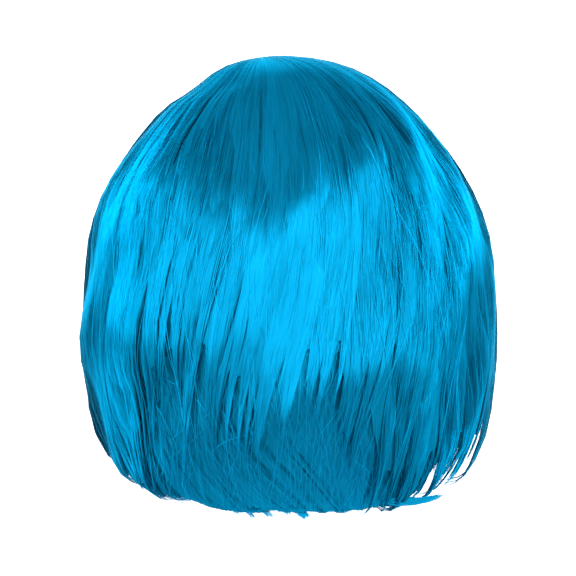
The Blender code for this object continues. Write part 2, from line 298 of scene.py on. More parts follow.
def coloured(tree, tone, stops, socket):
    """Gives a socket the colour that these stops have at each tone."""
    ramp = ramp_node(tree, stops)
    plug(tree, tone, ramp.inputs["Fac"])
    plug(tree, ramp.outputs["Color"], socket)


def math_node(tree, operation, a, b):
    node = new_node(tree, "Math")
    node.operation = operation
    for socket, value in zip(node.inputs, (a, b)):
        plug(tree, value, socket)
    return node.outputs[0]


def sums(tree):
    """The tree's math nodes as functions: add, subtract, multiply, divide, greater and floor."""
    names = ("ADD", "SUBTRACT", "MULTIPLY", "DIVIDE", "GREATER_THAN")
    two = [lambda a, b, name=name: math_node(tree, name, a, b) for name in names]
    return (*two, lambda a: math_node(tree, "FLOOR", a, 0.0))


def noise_node(tree, x, y, detail=2.0):
    """Smooth noise over the plane of two values."""
    place = new_node(tree, "CombineXYZ", X=x, Y=y)
    return new_node(tree, "TexNoise", Vector=place.outputs[0], Scale=1.0, Detail=detail).outputs["Fac"]


def shaded(base, share):
    return tuple(min(c * share, 1.0) for c in base)


HAIR_BLUE = (0.0015, 0.283, 0.540)
# The second blue is the hair's blue in painted shade: darker for the under layer and the dense hair behind
# the strands.
PAINTED_SHADE_BLUE = (0.0015, 0.232, 0.428)
HAIR_EDGE = (0.10, 0.80, 1.00)
HAIR_SHEEN = (0.05, 0.60, 1.00)
HAIR_METALLIC = 0.72


def hair_shader(shader, roughness):
    """Coloured gloss, with a paler rim where the hair turns away."""
    for name, value in {
        "Roughness": roughness,
        "Metallic": HAIR_METALLIC,
        "Specular IOR Level": 0.0,
        "Specular Tint": (*HAIR_EDGE, 1.0),
        "Sheen Weight": 0.5,
        "Sheen Roughness": 0.25,
        "Sheen Tint": (*HAIR_SHEEN, 1.0),
    }.items():
        shader.inputs[name].default_value = value


def split_uv(tree, layer="OFBake"):
    """The two coordinates of a uv layer; "cloth" is metres along and across the piece's own cloth."""
    uv = new_node(tree, "UVMap")
    uv.uv_map = layer
    split = new_node(tree, "SeparateXYZ", Vector=uv.outputs["UV"])
    return split.outputs["X"], split.outputs["Y"]


def strand_material(name, base, roughness, spread, painted_tip_light, sunk_with_painted_shade):
    """Glossy synthetic fibre: a shade for each column of strands, clouded along it, and painted light that
    makes the thin tips paler.

    The last argument is how much darker the dark columns are: painted shade for the gaps between clumps.
    """
    mat, tree, shader = new_material(name)
    across, along = split_uv(tree)
    add, subtract, multiply, divide, greater, floor = sums(tree)
    column = floor(multiply(across, float(COLUMNS)))
    lock = floor(divide(column, float(COLUMNS_PER_LOCK)))
    cloud = noise_node(tree, multiply(column, 7.3), multiply(along, 6.0))
    total = multiply(cloud, 0.2)
    for lane, share in ((column, 0.28), (add(lock, 500.5), 0.15)):
        shade = new_node(tree, "TexWhiteNoise")
        shade.noise_dimensions = "1D"
        plug(tree, lane, shade.inputs["W"])
        total = add(total, multiply(shade.outputs["Value"], share))
    # Painted light: strands grow paler towards their tips, as if light came through the thin ends.
    tip = multiply(math_node(tree, "POWER", along, 6.0), painted_tip_light)
    total = add(add(total, 0.2), tip)
    # The pale columns are a painted highlight for glinting stray hairs; the dark columns are painted shade
    # for the gaps between clumps.
    total = add(total, multiply(greater(column, PAINTED_GLINT_COLUMN - 0.5), 0.45))
    total = subtract(total, multiply(greater(column, PAINTED_SHADE_COLUMN - 0.5), sunk_with_painted_shade))
    stops = [(0.0, shaded(base, 0.66)), (0.20, shaded(base, 1.0 - spread)),
             (0.80, shaded(base, 1.0 + spread * 0.6)), (1.0, shaded(base, 1.25))]
    coloured(tree, total, stops, shader.inputs["Base Color"])
    hair_shader(shader, roughness)
    return mat


def base_material(name, base, roughness, spread):
    """The dense hair behind the loose strands: the same fibre in fine upright streaks."""
    mat, tree, shader = new_material(name)
    across, along = split_uv(tree)
    add, _, multiply, *_ = sums(tree)
    fine = noise_node(tree, multiply(across, 420.0), multiply(along, 5.0))
    wide = noise_node(tree, multiply(across, 60.0), multiply(along, 3.0))
    mixed = add(multiply(fine, 0.6), multiply(wide, 0.4))
    stops = [(0.25, shaded(base, 1.0 - spread)), (0.75, shaded(base, 1.0 + spread))]
    coloured(tree, mixed, stops, shader.inputs["Base Color"])
    hair_shader(shader, roughness)
    return mat


HAIR = strand_material("hair_outer", HAIR_BLUE, 0.26, 0.28, 0.12, 1.05)
# The under layer and the dense base take the darker blue: painted shade under the outer hair.
UNDER = strand_material("hair_under", PAINTED_SHADE_BLUE, 0.34, 0.16, 0.80, 0.55)
BASE = base_material("hair_base", PAINTED_SHADE_BLUE, 0.36, 0.16)


# Hair

LEVELS = np.concatenate([
    np.linspace(0.0, float(lat_of(0.226)), 23, endpoint=False), lat_of(np.linspace(0.226, 0.280, 10))])


def make_locks(count, turns, tips, jitter, rng, pinch=(0.5, 0.97)):
    """Locks side by side between two turns, each with its own tip, lean and waves."""
    edges = np.linspace(turns[0], turns[1], count + 1)
    step = edges[1] - edges[0]
    middle = (edges[1:] + edges[:-1]) / 2 + rng.normal(0, 0.15, count) * step
    return {
        "turn": middle,
        "half": step * rng.uniform(0.45, 1.15, count),
        "tip": tips(middle) + rng.normal(0, jitter, count),
        "pinch": rng.uniform(*pinch, count),
        "lean": rng.normal(0, LOCK_LEAN, count),
        "length": rng.uniform(0.070, 0.120, count),
        "phase": rng.uniform(0, 2 * math.pi, count),
        "lift": rng.uniform(-1.0, 1.0, count),
        "shade": rng.integers(0, COLUMNS, count),
    }


def grow(name, mat, count, locks, base_inset, top_drop, drift, rng, ripple=0.0010, gather=0.08):
    """Strands of the given locks, with roots spread over the surface so it is evenly covered."""
    n_locks, each = len(locks["turn"]), (count, 1)
    which = rng.integers(0, n_locks, each)
    get = {key: value[which] for key, value in locks.items()}
    # A lock is a handful of wisps: strands start evenly spread and gather into their wisp near the tip.
    wisp = rng.integers(0, WISPS, each)
    wisp_at, wisp_lift, wisp_phase, wisp_tip = (
        values[which, wisp] for values in (
            rng.uniform(-1.0, 1.0, (n_locks, WISPS)), rng.normal(0, 1.0, (n_locks, WISPS)),
            rng.uniform(0, 2 * math.pi, (n_locks, WISPS)), rng.normal(0, 1.0, (n_locks, WISPS))))
    # The first wisps of a lock sink a little and are painted dark: painted shade in the gaps between clumps.
    sunk_with_painted_shade = wisp < np.where(get["lift"] > 0.0, 2, 1)
    start_at = wisp_at + rng.normal(0, 0.35, each)
    end_at = wisp_at + rng.normal(0, gather, each)
    tip_drop = get["tip"] - np.abs(wisp_at) * 0.010 + RAGGED * (0.7 * wisp_tip + rng.normal(0, 0.5, each))
    top_lat = float(lat_of(top_drop))
    tip_lat = lat_of(tip_drop)
    high = math.sin(min(top_lat, math.pi / 2)) ** DOME_BLUNTNESS
    root_spread = high + (0.99 - high) * rng.uniform(0, 1, each)
    root_lat = np.arcsin(np.clip(root_spread, 0.0, 0.999) ** (1.0 / DOME_BLUNTNESS))
    root_lat = np.clip(root_lat, top_lat, np.maximum(tip_lat - 0.45, top_lat))
    # Every strand bends at the same levels, so neighbours lie flat on each other.
    lat = np.clip(LEVELS, root_lat, tip_lat)
    shown = np.ones(lat.shape, bool)
    shown[:, :-1] &= LEVELS[1:] > root_lat
    shown[:, 1:] &= LEVELS[:-1] < tip_lat
    s = (lat - root_lat) / (tip_lat - root_lat)
    drop = drop_of(lat)
    near_tip = smooth((drop - (get["tip"] - 0.100)) / 0.100)
    across = start_at + (end_at - start_at) * near_tip
    turn = get["turn"] + get["half"] * across * (1.0 - get["pinch"] * near_tip**1.6)
    turn = turn + get["lean"] * smooth((drop - 0.08) / 0.14) + drift(turn, drop)
    slow = np.sin(drop * 30.0 + wisp_phase)
    quick = rng.normal(0, 1, each) * np.sin(drop * rng.uniform(30, 70, each) + rng.uniform(0, 6.3, each))
    turn = turn + (0.005 * slow + 0.0015 * quick) * smooth(drop / 0.06)
    wave = np.sin(2 * math.pi * drop / get["length"] + get["phase"])
    small_wave = np.sin(2 * math.pi * drop / 0.060 + wisp_phase)
    calm = 1.0 - 0.7 * smooth((np.abs(np.cos(turn)) - 0.70) / 0.25)
    inset = (
        base_inset
        + LOCK_DEPTH * across**2
        + ripple * calm * (wave + 0.50 * small_wave + 0.04 * quick) * smooth(drop / 0.05)
        - 0.0005 * get["lift"] * calm * smooth(drop / 0.04) * (1.0 + near_tip)
        - wisp_lift * calm * (0.00004 + 0.00025 * near_tip)
        + rng.uniform(0, LOOSE, each)
        + 0.0004 * sunk_with_painted_shade
    )
    sunk = (root_lat > top_lat + 0.08) * (1 - smooth((lat - root_lat) / 0.30))
    path, face = hair_points(turn, drop, inset + 0.0022 * sunk)
    tip_fade = np.clip((1.0 - s) / 0.05, 0.0, 1.0) ** 0.7
    body = STRAND_HALF_WIDTH * rng.uniform(0.7, 1.3, each)
    root_thin = 0.30 + 0.70 * smooth(np.sin(np.minimum(lat, math.pi / 2)) / 0.5)
    half_width = body * root_thin * (0.12 + 0.88 * tip_fade)
    own = np.where(rng.uniform(0, 1, each) < 0.6, wisp, rng.integers(0, COLUMNS_PER_LOCK, each))
    column = get["shade"] % LOCK_SHADES * COLUMNS_PER_LOCK + own % COLUMNS_PER_LOCK
    # Sunk wisps take the dark columns, which are painted shade; a few strands take the pale columns, which
    # are a painted highlight.
    column = np.where(sunk_with_painted_shade, PAINTED_SHADE_COLUMN + own % COLUMNS_PER_LOCK, column)
    column = np.where(rng.uniform(0, 1, each) < 0.035, PAINTED_GLINT_COLUMN + own % COLUMNS_PER_LOCK, column)
    roll = rng.normal(0, 0.05, each) + rng.normal(0, 0.08, each) * (s - 0.5)
    return strand_mesh(name, path, face, half_width, column[:, 0], roll, mat, s, shown)


def shell(name, mat, turns, top_drop, bottom, inset, around, down, drift=None):
    """The dense body of hair behind the strands: one curved sheet with fine striations."""
    u = np.linspace(0, 1, around + 1)[None, :]
    v = np.linspace(0, 1, down + 1)[:, None]
    turn = turns[0] + (turns[1] - turns[0]) * u + 0 * v
    low = lat_of(bottom(turn))
    top = float(lat_of(top_drop))
    drop = drop_of(top + (low - top) * v)
    bent = turn + (drift(turn, drop) if drift else 0.0)
    points = hair_points(bent, drop, inset * (0.55 + 0.45 * smooth(drop / 0.006)))[0].reshape(-1, 3)
    faces = grid_faces(down + 1, around + 1)
    uv = np.stack(np.broadcast_arrays(u, 1 - v), axis=-1).reshape(-1, 2)
    return mesh_object(name, points, faces, uv[faces], mat)


SIDE = math.radians(30.0)
FACE = math.radians(50.0)
BACK = (SIDE, math.pi - SIDE)
LEFT = (-FACE, SIDE)
RIGHT = (math.pi - SIDE, math.pi + FACE)
FRINGE = (math.pi + FACE, 2 * math.pi - FACE)


def no_drift(turn, drop):
    return 0.0 * drop


def outer_drift(turn, drop):
    """The outer locks at the back lean to the wearer's left as they fall."""
    middle = np.exp(-(((turn - math.radians(96)) / 0.75) ** 2))
    return -0.26 * middle * smooth((drop - 0.060) / 0.17)


def swirl(turn, drop):
    """The under hair sweeps to the wearer's right and under at the hem, and back at the far right."""
    fall = np.clip((drop - 0.150) / (HEM_LOW - 0.150), 0.0, 1.25)
    strength = 0.60 * np.exp(-(((turn - math.radians(78)) / 0.80) ** 2))
    strength = strength - 0.12 * np.exp(-(((turn - math.radians(160)) / 0.40) ** 2))
    return strength * fall**2


def back_tips(turn):
    """Tips of the outer back locks: short in the middle, down to the hem at the corners."""
    lean = np.cos(turn)
    right = 0.052 * smooth((-lean - 0.42) / 0.22)
    left = 0.040 * smooth((lean - 0.60) / 0.22)
    return 0.196 + 0.010 * np.sin(turn * 9.0) + right + left


def parting(turn, start, end):
    """How far the hair is cut away at the wearer's right cheek, where the corner locks hang apart."""
    turn = np.degrees(turn)
    return 0.028 * smooth((turn - start) / 14.0) * smooth((end - turn) / 12.0)


def side_tips(turn):
    corner = smooth((np.degrees(turn) - 138.0) / 14.0) * smooth((192.0 - np.degrees(turn)) / 8.0)
    return hem_drop(turn) + 0.002 - parting(turn, 176, 242) - 0.012 * corner


def under_tips(turn):
    return hem_drop(turn) + 0.004 - 1.1 * parting(turn, 128, 242)


def fringe_tips(turn):
    return np.full_like(turn, 0.120)


def back_base_end(turn):
    return back_tips(turn) - 0.034


def side_base_end(turn):
    """The dense hair stops near the hem, and higher at the right corner, where the locks part."""
    apart = smooth((np.degrees(turn) - 140.0) / 12.0) * smooth((200.0 - np.degrees(turn)) / 14.0)
    return side_tips(turn) - 0.012 - 0.036 * apart


def fringe_base_end(turn):
    return fringe_tips(turn) - 0.012


def piece(obj, node, slot, body=ROOT):
    """Makes the object the visible shape of a CAD node, on its body; the slot is not used."""
    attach(obj, body)
    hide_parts(node)


def build_outer(rng):
    """The outer layer: each crown section and the fringe, as batches of strands over a dense base."""
    sections = {
        "crown_hair_back": (BACK, 44, back_tips, 0.011, 3, 5600, outer_drift, back_base_end, (0.5, 0.97)),
        "crown_hair_left": (LEFT, 26, side_tips, 0.004, 2, 4800, swirl, side_base_end, (0.0, 0.7)),
        "crown_hair_right": (RIGHT, 22, side_tips, 0.006, 2, 4800, swirl, side_base_end, (0.2, 0.95)),
        "fringe_hair": (FRINGE, 26, fringe_tips, 0.002, 2, 5600, no_drift, fringe_base_end, (0.0, 0.45)),
    }
    pad = math.radians(2)
    for name, row in sections.items():
        (start, end), count, tips, jitter, batches, strands, drift, base_end, pinch = row
        locks = make_locks(count, (start - pad, end + pad), tips, jitter, rng, pinch=pinch)
        for batch in range(batches):
            obj = grow(f"{name}_strands_{batch + 1}", HAIR, strands, locks, OUTER_INSET, 0.000008, drift, rng)
            piece(obj, name, "outer_hair")
        base = shell(name + "_base", BASE, (start - 0.03, end + 0.03), 0.0, base_end, OUTER_BASE_INSET,
                     48, 40, drift)
        piece(base, name, "outer_hair")


def build_under(rng):
    """The under layer, down to the hem all round but the face."""
    sections = {
        "back_hair": (BACK, 30, 5600),
        "side_hair_left": ((LEFT[0] + 0.17, LEFT[1]), 14, 3000),
        "side_hair_right": ((RIGHT[0], RIGHT[1] - 0.17), 14, 3000),
    }
    for name, (turns, count, strands) in sections.items():
        locks = make_locks(count, turns, under_tips, 0.005, rng, pinch=(0.0, 0.4))
        obj = grow(name + "_strands", UNDER, strands, locks, UNDER_INSET, UNDER_TOP, swirl, rng,
                   gather=0.20, ripple=0.0005)
        piece(obj, name, "under_hair")
        base = shell(name + "_base", BASE, turns, UNDER_TOP, lambda turn: under_tips(turn) - 0.005,
                     UNDER_BASE_INSET, 40, 30, swirl)
        piece(base, name, "under_hair")

    def nape_tips(turn):
        return under_tips(turn) - 0.006

    def temple_tips(turn):
        return hem_drop(turn) - 0.010

    inner = {
        "nape_hair": ((BACK[0] + 0.07, BACK[1] - 0.07), 18, nape_tips, 2600, 0.130, swirl),
        "temple_hair_left": ((-FACE + 0.03, -0.31), 8, temple_tips, 1300, 0.085, no_drift),
        "temple_hair_right": ((math.pi + 0.31, math.pi + FACE - 0.03), 8, temple_tips, 1300, 0.085, no_drift),
    }
    for name, (turns, count, tips, strands, top, drift) in inner.items():
        locks = make_locks(count, turns, tips, 0.004, rng)
        obj = grow(name + "_strands", UNDER, strands, locks, INNER_INSET, top, drift, rng)
        piece(obj, name, "under_hair")


def flyaways(name, node, count, turns, drops, proud, bow, rng):
    """Loose single hairs that cross the others a little way above them."""
    s = np.linspace(0, 1, 14)[None, :]
    length = rng.uniform(0.030, 0.110, (count, 1))
    start = rng.uniform(drops[0], drops[1], (count, 1))
    drop = start + (np.minimum(start + length, HEM_LOW - 0.004) - start) * s
    slant = rng.normal(-0.3, 1.0, (count, 1)) * length
    bend = rng.normal(0, bow, (count, 1)) * np.sin(math.pi * s)
    turn = rng.uniform(turns[0], turns[1], (count, 1)) + slant * s + bend
    lift = rng.uniform(proud[0], proud[1], (count, 1)) * np.sin(math.pi * (0.12 + 0.88 * s)) ** 0.5
    path, face = hair_points(turn, drop, 0.0004 - lift)
    half_width = FLYAWAY_HALF_WIDTH * rng.uniform(0.7, 1.3, (count, 1)) * (
        0.35 + 0.65 * np.sin(math.pi * (0.1 + 0.85 * s)))
    # Stray hairs take the pale columns: a painted highlight, as if they caught the light.
    column = PAINTED_GLINT_COLUMN + rng.integers(0, COLUMNS_PER_LOCK, count)
    obj = strand_mesh(name, path, face, half_width, column, rng.normal(0, 0.3, (count, 1)) + 0 * s, HAIR)
    piece(obj, node, "under_hair" if node == "back_hair" else "outer_hair")


def hem_flicks(rng):
    """Small pointed tips that hang out of the curled hem at the back."""
    wisps, each = 19, 24
    at = np.append(rng.uniform(28, 34, 4), rng.uniform(55, 98, wisps - 4))
    count = wisps * each
    turn = (np.repeat(np.radians(at), each) + rng.normal(0, 0.006, count))[:, None]
    length = (np.repeat(rng.uniform(0.002, 0.008, wisps), each) * rng.uniform(0.7, 1.0, count))[:, None]
    s = np.linspace(0, 1, 9)[None, :]
    drop = hem_drop(turn) - CURL_RADIUS * 0.5 + CURL_RADIUS * 0.75 * np.minimum(s * 2, 1.0)
    path = hair_points(turn, drop, rng.uniform(0.0045, 0.0070, (count, 1)))[0]
    out = np.clip(s * 2 - 1.0, 0, 1)[..., None] * length[..., None]
    path = path + out * np.array([-0.62, 0.10, -0.78])
    path[..., 0] -= 0.0020 * smooth(np.broadcast_to(s, path.shape[:2]))
    half_width = STRAND_HALF_WIDTH * (1.0 - 0.85 * s**2) + 0 * turn
    back = np.broadcast_to([0.0, 1.0, 0.1], path.shape)
    column = rng.integers(0, PAINTED_GLINT_COLUMN, count)
    obj = strand_mesh("hem_flicks", path, back, half_width, column, 0 * drop, HAIR)
    piece(obj, "back_hair", "under_hair")


def hem_blade(rng):
    """One flat wisp that sticks out at the lower right, tapering to a point."""
    count = 260
    s = np.linspace(0, 1, 14)[None, :]
    turn = math.radians(127) + rng.normal(0, 0.02, (count, 1))
    drop = hem_drop(turn) - 0.0080 + 0 * s
    path = hair_points(turn, drop, rng.uniform(0.0005, 0.003, (count, 1)))[0]
    reach = s * rng.uniform(0.85, 1.0, (count, 1))
    spread = rng.uniform(-1, 1, (count, 1)) * (1.0 - reach) ** 0.8
    path[..., 0] -= 0.030 * reach - 0.003
    path[..., 1] -= 0.012 * reach**2
    path[..., 2] += 0.0055 + 0.0024 * spread - 0.0024 * np.sin(math.pi * reach) - 0.0005 * reach
    half_width = STRAND_HALF_WIDTH * (1.0 - 0.85 * s**3) + 0 * turn
    back = np.broadcast_to([-0.3, 1.0, 0.1], path.shape)
    # The blade takes the dark columns: painted shade.
    column = PAINTED_SHADE_COLUMN + rng.integers(0, COLUMNS_PER_LOCK, count)
    obj = strand_mesh("hem_blade", path, back, half_width, column, 0 * drop, UNDER)
    piece(obj, "back_hair", "under_hair")


def build_hair():
    rng = np.random.default_rng(7)
    build_outer(rng)
    build_under(rng)
    crossing = {
        "crown_flyaways": ("crown_hair_back", 300, BACK, (0.004, 0.175), (0.0002, 0.0010), 0.03),
        "side_flyaways_left": ("crown_hair_left", 80, LEFT, (0.01, 0.180), (0.0002, 0.0009), 0.03),
        "side_flyaways_right": ("crown_hair_right", 80, RIGHT, (0.01, 0.180), (0.0002, 0.0009), 0.03),
        "fringe_flyaways": ("fringe_hair", 90, FRINGE, (0.004, 0.070), (0.0006, 0.0016), 0.03),
        "under_flyaways": ("back_hair", 420, BACK, (0.150, 0.225), (-0.0042, -0.0020), 0.09),
    }
    for name, row in crossing.items():
        flyaways(name, *row, rng)
    hem_flicks(rng)
    hem_blade(rng)


build_hair()


# Cap fabrics


def grey(level):
    return (level, level, level)


def raised(tree, height, depth, shader):
    bump = new_node(tree, "Bump", Distance=depth, Height=height)
    plug(tree, bump.outputs["Normal"], shader.inputs["Normal"])


def ribs(tree, coordinate, pitch):
    """A rounded rib at every pitch, from 0 to 1."""
    add, _, multiply, *_ = sums(tree)
    wave = math_node(tree, "SINE", multiply(coordinate, 2 * math.pi / pitch), 0.0)
    return multiply(add(wave, 1.0), 0.5)


def fabric_material(name, dark, light, roughness, along_pitch, across_pitch, depth):
    """Cloth or elastic: ribs both ways that colour it, roughen it and raise it."""
    mat, tree, shader = new_material(name)
    along, across = split_uv(tree, "cloth")
    add, _, multiply, *_ = sums(tree)
    warp = ribs(tree, across, across_pitch)
    fill = ribs(tree, along, along_pitch)
    weave = add(multiply(warp, 0.6), multiply(fill, 0.4))
    fuzz = noise_node(tree, multiply(along, 900.0), multiply(across, 1400.0), 4.0)
    tone = add(multiply(weave, 0.55), multiply(fuzz, 0.45))
    coloured(tree, tone, [(0.2, dark), (0.8, light)], shader.inputs["Base Color"])
    coloured(tree, tone, [(0.0, grey(min(roughness + 0.15, 1.0))), (1.0, grey(roughness))],
             shader.inputs["Roughness"])
    raised(tree, tone, depth, shader)
    return mat


def solid_material(name, dark, light, roughness, metallic, grain, stretch, depth):
    """Moulded plastic or brushed metal, with grain in the piece's own space."""
    mat, tree, shader = new_material(name)
    where = new_node(tree, "TexCoord").outputs["Object"]
    scale = new_node(tree, "VectorMath", Vector=where)
    scale.operation = "MULTIPLY"
    scale.inputs[1].default_value = stretch
    tone = new_node(tree, "TexNoise", Vector=scale.outputs[0], Scale=grain, Detail=5.0).outputs["Fac"]
    coloured(tree, tone, [(0.3, dark), (0.7, light)], shader.inputs["Base Color"])
    coloured(tree, tone, [(0.3, grey(roughness + 0.12)), (0.7, grey(roughness - 0.05))],
             shader.inputs["Roughness"])
    raised(tree, tone, depth, shader)
    shader.inputs["Metallic"].default_value = metallic
    return mat


BLACK = (0.006, 0.006, 0.008)
CHARCOAL = (0.030, 0.031, 0.036)
SMOKE = (0.070, 0.072, 0.080)
NET = fabric_material("net_thread", BLACK, (0.040, 0.041, 0.048), 0.60, 0.0009, 0.0009, 0.00005)
LINING = fabric_material("lining_cloth", (0.012, 0.012, 0.015), CHARCOAL, 0.72, 0.0007, 0.0007, 0.00012)
ELASTIC = fabric_material("elastic_tape", (0.014, 0.014, 0.017), SMOKE, 0.62, 0.0006, 0.0011, 0.00018)
WEFT = fabric_material("weft_header", (0.0, 0.055, 0.11), (0.0, 0.20, 0.38), 0.55, 0.0005, 0.0016, 0.00020)
TAB = fabric_material("tab_cloth", BLACK, (0.035, 0.036, 0.042), 0.75, 0.0008, 0.0008, 0.00014)
THREAD = fabric_material("sewing_thread", (0.020, 0.020, 0.024), (0.11, 0.11, 0.12), 0.50,
                         0.0004, 0.0004, 0.00004)
BLUE_THREAD = fabric_material("weft_thread", (0.0, 0.10, 0.20), (0.0, 0.30, 0.55), 0.45,
                              0.0004, 0.0004, 0.00004)
STAY = solid_material("stay_metal", (0.30, 0.30, 0.32), (0.46, 0.46, 0.48), 0.32, 0.9,
                      60.0, (4.0, 4.0, 40.0), 0.00002)
HOOK = solid_material("hook_plastic", (0.012, 0.012, 0.014), (0.035, 0.035, 0.040), 0.34, 0.0,
                      900.0, (1.0, 1.0, 1.0), 0.00003)


# Cap geometry, as the CAD model has it

CAP_HALF_WIDTH = 0.075
CAP_HALF_DEPTH = 0.094
CAP_DOME = 0.095
CAP_NAPE_TAPER = 0.08
CAP_EDGE_FRONT = 0.058
CAP_EDGE_EAR = 0.094
CAP_EDGE_NAPE = 0.150
NET_THICKNESS = 0.0008
RIBBON_OUTSET = 0.0022
RIBBON_WIDTH = 0.009
PATCH_OUTSET = 0.0038
PATCH_DROP = 0.011
WEFT_OUTSET = 0.0046
WEFT_THICKNESS = 0.0015
WEFT_HEIGHT = 0.004
BACK_WEFT_FIRST = 0.046
BACK_WEFT_PITCH = 0.0145
BACK_WEFTS = 7
BAND_INSET = 0.0008
BAND_THICKNESS = 0.0008
FRONT_BAND_HEIGHT = 0.012
NAPE_BAND_HEIGHT = 0.018
TAB_ANGLE = -24.0
TAB_SPREAD = 9.0
TAB_GAP = 0.0018
TAB_LENGTH = 0.028
TAB_THICKNESS = 0.0014
ADJUSTER_ANGLE = 56.0
STRAP_ANGLE = 29.0
STRAP_LIFT = 0.0016
STRAP_WIDTH = 0.007
STRAP_THICKNESS = 0.0010
LOOPS_LENGTH = 0.030
LOOPS_BASE = 0.0007
LOOP_HEIGHT = 0.0013
LOOP_PITCH = 0.008
LOOP_COUNT = 4
HOOK_LENGTH = 0.011
HOOK_THICKNESS = 0.0012
ADJUSTER_CLEARANCE = 0.0005
ADJUSTER_BOW = 0.0026

# The net's cells, drawn coarser than real lace so that each thread is a shape of its own
MESH_CELL = 0.0028
MESH_THREAD = 0.0006
MESH_SEAM_DROP = 0.050

# The sizes the cap's cloth was cut to: width and length, flat
FRONT_BAND_FLAT = (0.20, 0.012)
NAPE_BAND_FLAT = (0.177, 0.018)


def cap_points(turn, drop, outset):
    """Points of the cap's head-side surface, moved outwards along its normal."""
    turn, drop, outset = np.broadcast_arrays(turn, drop, outset)
    fallen = np.clip((drop - CAP_DOME) / (CAP_EDGE_NAPE - CAP_DOME), 0.0, None)
    spread = np.where(drop > CAP_DOME, 1.0 - CAP_NAPE_TAPER * fallen**2,
                      np.sin(np.minimum(lat_of(drop, CAP_DOME), math.pi / 2)))
    x, y = CAP_HALF_WIDTH * spread * np.cos(turn), CAP_HALF_DEPTH * spread * np.sin(turn)
    rise = np.clip(CAP_DOME - drop, 0.0, None)
    normal = np.stack([x / CAP_HALF_WIDTH**2, y / CAP_HALF_DEPTH**2, rise / CAP_DOME**2], axis=-1)
    return np.stack([x, y, -drop], axis=-1) + unit(normal) * outset[..., None]


def cap_edge(turn):
    """How far down the cap's edge is: high over the brow, low at the nape."""
    lean = np.sin(turn)
    front = CAP_EDGE_EAR + (CAP_EDGE_FRONT - CAP_EDGE_EAR) * lean**4
    back = CAP_EDGE_EAR + (CAP_EDGE_NAPE - CAP_EDGE_EAR) * lean**2
    return np.where(lean < 0, front, back)


def level(drop):
    """The same drop at every turn."""
    return lambda turn: drop + 0 * turn


def above_edge(up):
    """The drop that is this far above the cap's edge at every turn."""
    return lambda turn: cap_edge(turn) - up


# Tapes and stitches

SECTION_POINTS = 14
STITCH_RADIUS = 0.00022


def lengths_of(points):
    """How far along a row of points each one is."""
    steps = np.linalg.norm(np.diff(points, axis=0), axis=-1)
    return np.concatenate([[0.0], np.cumsum(steps)])


def closed_up(obj):
    """The mesh without unused points, its open ends filled and its faces turned outwards."""
    work = bmesh.new()
    work.from_mesh(obj.data)
    bmesh.ops.delete(work, geom=[vertex for vertex in work.verts if not vertex.link_faces], context="VERTS")
    bmesh.ops.holes_fill(work, edges=[edge for edge in work.edges if edge.is_boundary], sides=0)
    bmesh.ops.recalc_face_normals(work, faces=work.faces)
    work.to_mesh(obj.data)
    work.free()
    return obj


def tape(name, place, steps, mat, closed=False, width=0.010, section=SECTION_POINTS):
    """A flat strip with rounded edges. place(u, a, h) gives its points: u along, a across and h through."""
    around = np.linspace(0, 2 * math.pi, section, endpoint=False)
    across = np.sign(np.cos(around)) * np.abs(np.cos(around)) ** 0.4
    through = np.sign(np.sin(around)) * np.abs(np.sin(around)) ** 0.7
    u = np.linspace(0, 1, steps + 1)
    points = place(u[:, None], across[None, :], through[None, :])
    n, k = points.shape[:2]
    index = np.arange(n * k).reshape(n, k)
    if closed:
        index[-1] = index[0]
    a, b = index[:-1], index[1:]
    faces = np.stack([a, np.roll(a, -1, 1), np.roll(b, -1, 1), b], axis=-1).reshape(-1, 4)
    along = lengths_of(points[:, 0])
    share = np.arange(k + 1) / k
    corner_u = np.stack([along[:-1], along[:-1], along[1:], along[1:]], axis=-1)[:, None, :]
    corner_v = np.stack([share[:-1], share[1:], share[1:], share[:-1]], axis=-1)[None, :, :]
    corner_u, corner_v = np.broadcast_arrays(corner_u, corner_v)
    cloth = np.stack([corner_u, corner_v * 2 * width], axis=-1).reshape(-1, 2)
    bake = np.stack([corner_u / along[-1], corner_v], axis=-1).reshape(-1, 2)
    return closed_up(mesh_object(name, points.reshape(-1, 3), faces, bake, mat, cloth=cloth))


def cap_tape(name, turns, low, high, outset, thickness, steps, mat, closed=False, section=SECTION_POINTS):
    """A strip on the cap between two turns in degrees and the drops low(turn) and high(turn)."""
    start, end = (math.radians(value) for value in turns)
    middle = (start + end) / 2

    def place(u, a, h):
        turn = start + (end - start) * u
        near, far = lat_of(high(turn), CAP_DOME), lat_of(low(turn), CAP_DOME)
        drop = drop_of(near + (far - near) * (0.5 + 0.5 * a), CAP_DOME)
        return cap_points(turn, drop, outset - thickness / 2 + h * thickness / 2)

    width = float(low(np.array(middle)) - high(np.array(middle)))
    return tape(name, place, steps, mat, closed, width, section)


def stitches(name, starts, ends, lifts, radius, mat):
    """Short threads from starts to ends (n, 3), each arching by lifts (n, 3) over what it holds."""
    share = np.linspace(0, 1, 6)[None, :, None]
    path = starts[:, None] + (ends - starts)[:, None] * share + lifts[:, None] * np.sin(math.pi * share)
    along = unit(np.gradient(path, axis=1))
    side = unit(np.cross(along, lifts[:, None] + 0 * along))
    up = np.cross(side, along)
    angle = np.linspace(0, 2 * math.pi, 6, endpoint=False)[None, None, :, None]
    thick = radius * (0.25 + 0.75 * np.sin(math.pi * np.clip(share, 0.06, 0.94)) ** 0.5)[..., None]
    ring = path[:, :, None] + thick * (side[:, :, None] * np.cos(angle) + up[:, :, None] * np.sin(angle))
    n, k, m = ring.shape[:3]
    index = np.arange(n * k * m).reshape(n, k, m)
    a, b = index[:, :-1], index[:, 1:]
    faces = np.stack([a, b, np.roll(b, -1, 2), np.roll(a, -1, 2)], axis=-1).reshape(-1, 4)
    grid = np.stack(np.meshgrid(np.arange(k) / k, np.arange(m) / m, indexing="ij"), axis=-1)
    uv = np.broadcast_to(grid, (n, k, m, 2)).reshape(-1, 2)
    return closed_up(mesh_object(name, ring.reshape(-1, 3), faces, uv[faces], mat, cloth=uv[faces] * 0.003))


